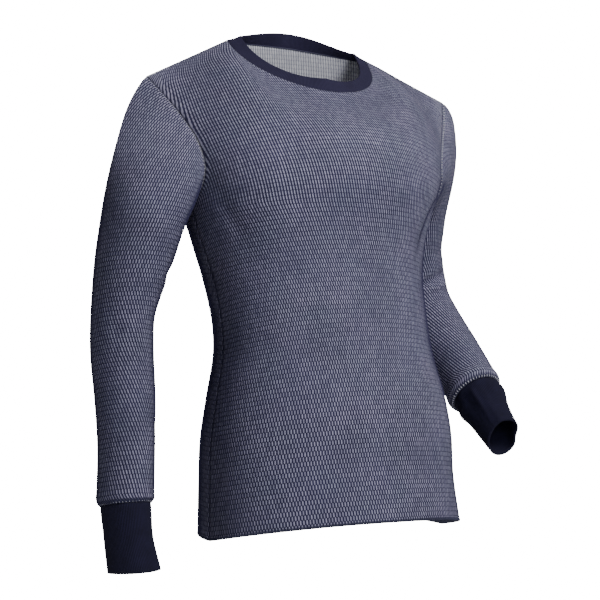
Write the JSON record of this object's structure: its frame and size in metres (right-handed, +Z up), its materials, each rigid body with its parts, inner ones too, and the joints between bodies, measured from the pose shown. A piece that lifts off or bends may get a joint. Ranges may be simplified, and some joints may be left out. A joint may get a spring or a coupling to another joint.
{
  "type": "long-sleeved thermal top",
  "caption": "Close-fitting long-sleeved crew-neck top in thermal knit with rib neckband and rib cuffs, hollow as if worn.",
  "frame": {"origin": "midway between the neck ends of the two shoulder seams, where the wearer's shoulders carry the top", "axes": "+Z up, the front faces -Y, +X towards the wearer's left"},
  "size_m": [0.6359, 0.3366, 0.7665],
  "materials": {
    "thermal_knit": "raschel thermal knit, navy ground with pale lavender-grey floats, matt",
    "neck_rib": "fine navy rib knit, matt",
    "cuff_rib": "dark navy rib knit, matt",
    "knit_inside": "off-white inner face of the thermal knit, soft and matt"
  },
  "bodies": {
    "root": {"front": "thermal_knit", "back": "thermal_knit", "sleeve_right": "thermal_knit", "sleeve_left": "thermal_knit", "cuff_right": "cuff_rib", "cuff_left": "cuff_rib", "neckband": "neck_rib"}
  },
  "joints": []
}
